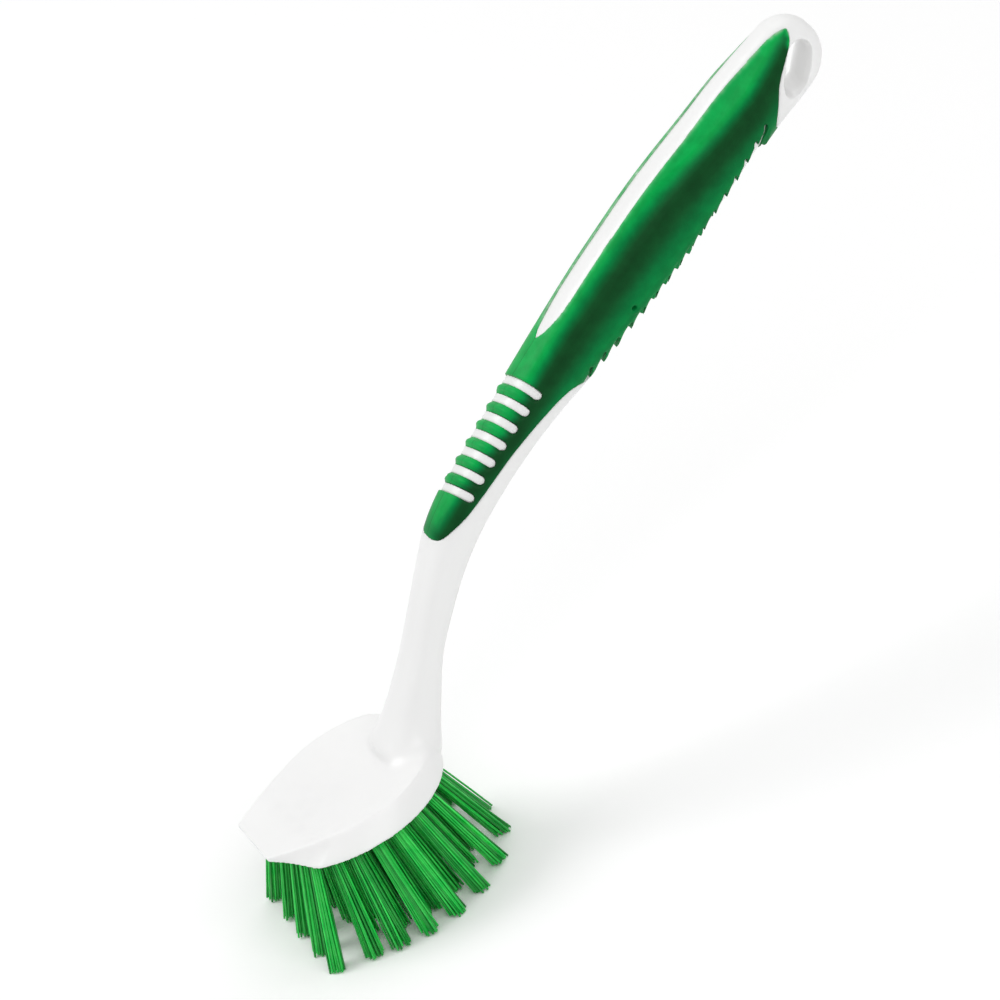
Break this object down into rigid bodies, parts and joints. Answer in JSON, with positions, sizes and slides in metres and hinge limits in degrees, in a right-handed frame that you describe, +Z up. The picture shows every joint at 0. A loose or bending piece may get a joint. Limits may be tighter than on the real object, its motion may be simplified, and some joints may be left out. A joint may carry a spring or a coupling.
{
  "type": "dish brush",
  "caption": "Round-headed dish brush with splayed green bristle tufts, a scraper edge, a bent neck, a ribbed soft grip on a white core and a slanted hanging hole.",
  "frame": {"origin": "centre of the tuft field on the plane of the bristle tips, where the brush stands on a surface", "axes": "+X from the head towards the end of the handle, +Z up from the bristle tips to the head, +Y across the handle"},
  "size_m": [0.2253, 0.0671, 0.1616],
  "materials": {
    "white_body": "smooth white moulded polypropylene",
    "green_grip": "satin soft overmoulded elastomer",
    "bristle": "satin crimp-free synthetic filament",
    "anchor_wire": "flat drawn wire"
  },
  "bodies": {
    "root": {"anchors": "anchor_wire", "body": "white_body", "grip": "green_grip", "tuft_01": "bristle", "tuft_02": "bristle", "tuft_03": "bristle", "tuft_04": "bristle", "tuft_05": "bristle", "tuft_06": "bristle", "tuft_07": "bristle", "tuft_08": "bristle", "tuft_09": "bristle", "tuft_10": "bristle", "tuft_11": "bristle", "tuft_12": "bristle", "tuft_13": "bristle", "tuft_14": "bristle", "tuft_15": "bristle", "tuft_16": "bristle", "tuft_17": "bristle", "tuft_18": "bristle", "tuft_19": "bristle", "tuft_20": "bristle", "tuft_21": "bristle", "tuft_22": "bristle", "tuft_23": "bristle", "tuft_24": "bristle", "tuft_25": "bristle", "tuft_26": "bristle", "tuft_27": "bristle", "tuft_28": "bristle", "tuft_29": "bristle", "tuft_30": "bristle", "tuft_31": "bristle", "tuft_32": "bristle", "tuft_33": "bristle", "tuft_34": "bristle", "tuft_35": "bristle", "tuft_36": "bristle", "tuft_37": "bristle", "tuft_38": "bristle", "tuft_39": "bristle", "tuft_40": "bristle", "tuft_41": "bristle", "tuft_42": "bristle", "tuft_43": "bristle", "tuft_44": "bristle", "tuft_45": "bristle", "tuft_46": "bristle"}
  },
  "joints": []
}
